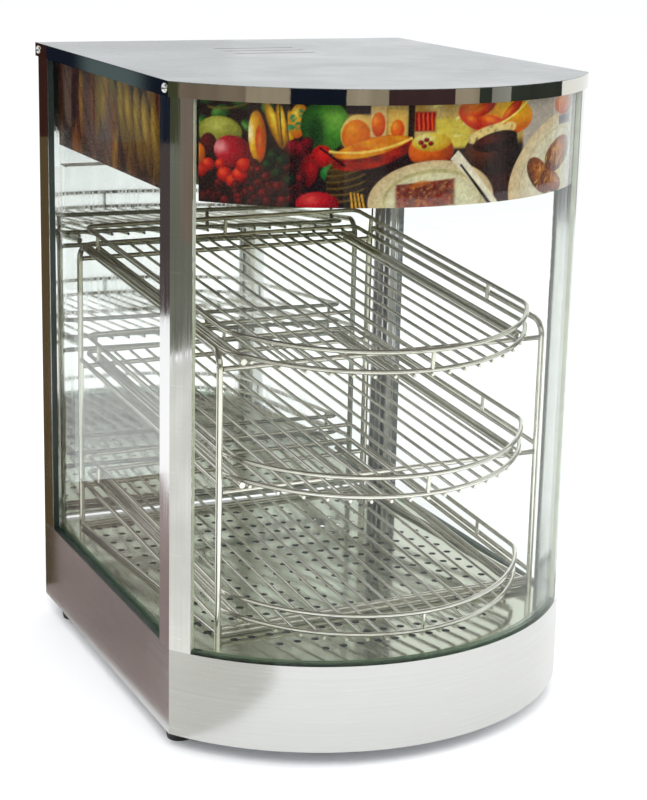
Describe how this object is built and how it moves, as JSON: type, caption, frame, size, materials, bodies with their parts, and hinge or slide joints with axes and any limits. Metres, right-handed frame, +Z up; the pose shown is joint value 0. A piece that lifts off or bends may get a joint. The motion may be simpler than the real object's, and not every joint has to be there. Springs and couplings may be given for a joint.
{
  "type": "hot food display case",
  "caption": "Countertop heated display cabinet with a bowed glass front, a sloping wire rack, a lidded top and a hinged mirror rear door.",
  "frame": {"origin": "on the bench, under the middle of the whole outline, door handle included", "axes": "+X to the right seen from the bowed front, +Y towards the rear door, +Z up"},
  "size_m": [0.4036, 0.5303, 0.591],
  "materials": {
    "sheet_steel": "satin stainless sheet",
    "mirror_steel": "mirror-polished stainless sheet",
    "hardware": "bright zinc and stainless fixings",
    "wire": "bright chromed wire",
    "glass": "clear tempered glass with a green edge",
    "film": "printed food picture film",
    "rubber": "black rubber",
    "black_plastic": "moulded black plastic",
    "red_plastic": "translucent red plastic",
    "amber_lens": "translucent amber lens",
    "element": "oxidised heater sheath",
    "galvanised": "spangled bright sheet",
    "copper": "copper tube",
    "white_plastic": "off-white ceramic and plastic",
    "diffuser": "opal diffuser",
    "bulb": "frosted bulb glass"
  },
  "bodies": {
    "case": {"base_shell": "sheet_steel", "bottom_plate": "galvanised", "rear_panel": "sheet_steel", "floor_plate": "mirror_steel", "feet": "rubber", "foot_screws": "hardware", "foot_nuts": "hardware", "heat_shield": "galvanised", "heating_element": "element", "element_brackets": "galvanised", "thermostat_body": "galvanised", "thermostat_bulb": "copper", "terminal_block": "white_plastic", "lamp_cable": "white_plastic", "cable_gland": "black_plastic", "pilot_lamp": "amber_lens", "power_switch": "black_plastic", "light_switch": "black_plastic", "panel_screws": "hardware", "front_left_post": "mirror_steel", "front_right_post": "mirror_steel", "rear_left_post": "mirror_steel", "rear_right_post": "mirror_steel", "front_glass": "glass", "left_glass": "glass", "right_glass": "glass", "left_gasket": "rubber", "right_gasket": "rubber", "front_seal": "rubber", "front_film": "film", "left_film": "film", "right_film": "film", "lid": "sheet_steel", "lid_screws": "hardware", "rear_header": "mirror_steel", "ceiling_panel": "galvanised", "lamp_holder": "white_plastic", "lamp_bulb": "bulb", "lamp_diffuser": "diffuser", "door_magnet": "black_plastic", "hinge_case_leaves": "hardware", "hinge_pins": "hardware", "left_side_frame": "wire", "right_side_frame": "wire", "rack_cross_bars": "wire"},
    "rear_door": {"door_outer_pan": "sheet_steel", "door_inner_panel": "mirror_steel", "door_handle": "hardware", "door_strike": "hardware", "hinge_door_leaves": "hardware"},
    "thermostat": {"thermostat_knob": "black_plastic", "thermostat_shaft": "hardware"},
    "power_switch_rocker": {"power_rocker": "red_plastic"},
    "light_switch_rocker": {"light_rocker": "red_plastic"},
    "shelf_top": {"top_shelf_rim": "wire", "top_shelf_grid": "wire"},
    "shelf_middle": {"middle_shelf_rim": "wire", "middle_shelf_grid": "wire"},
    "shelf_bottom": {"bottom_shelf_rim": "wire", "bottom_shelf_grid": "wire"}
  },
  "joints": [
    {"name": "rear_door_hinge", "type": "hinge", "parent": "case", "child": "rear_door", "pos_m": [0.1855, 0.22603, 0.287], "axis": [0, 0, -1], "range_deg": [0, 110]},
    {"name": "thermostat_turn", "type": "hinge", "parent": "case", "child": "thermostat", "pos_m": [0.062, 0.22203, 0.058], "axis": [0, 1, 0], "range_deg": [-300, 0]},
    {"name": "power_switch_throw", "type": "hinge", "parent": "case", "child": "power_switch_rocker", "pos_m": [-0.092, 0.22002, 0.058], "axis": [-1, 0, 0], "range_deg": [0, 16]},
    {"name": "light_switch_throw", "type": "hinge", "parent": "case", "child": "light_switch_rocker", "pos_m": [-0.048, 0.22002, 0.058], "axis": [-1, 0, 0], "range_deg": [0, 16]},
    {"name": "top_shelf_lift", "type": "slide", "parent": "case", "child": "shelf_top", "axis": [0, 0, 1], "range_m": [0, 0.02]},
    {"name": "middle_shelf_lift", "type": "slide", "parent": "case", "child": "shelf_middle", "axis": [0, 0, 1], "range_m": [0, 0.02]},
    {"name": "bottom_shelf_lift", "type": "slide", "parent": "case", "child": "shelf_bottom", "axis": [0, 0, 1], "range_m": [0, 0.02]}
  ]
}
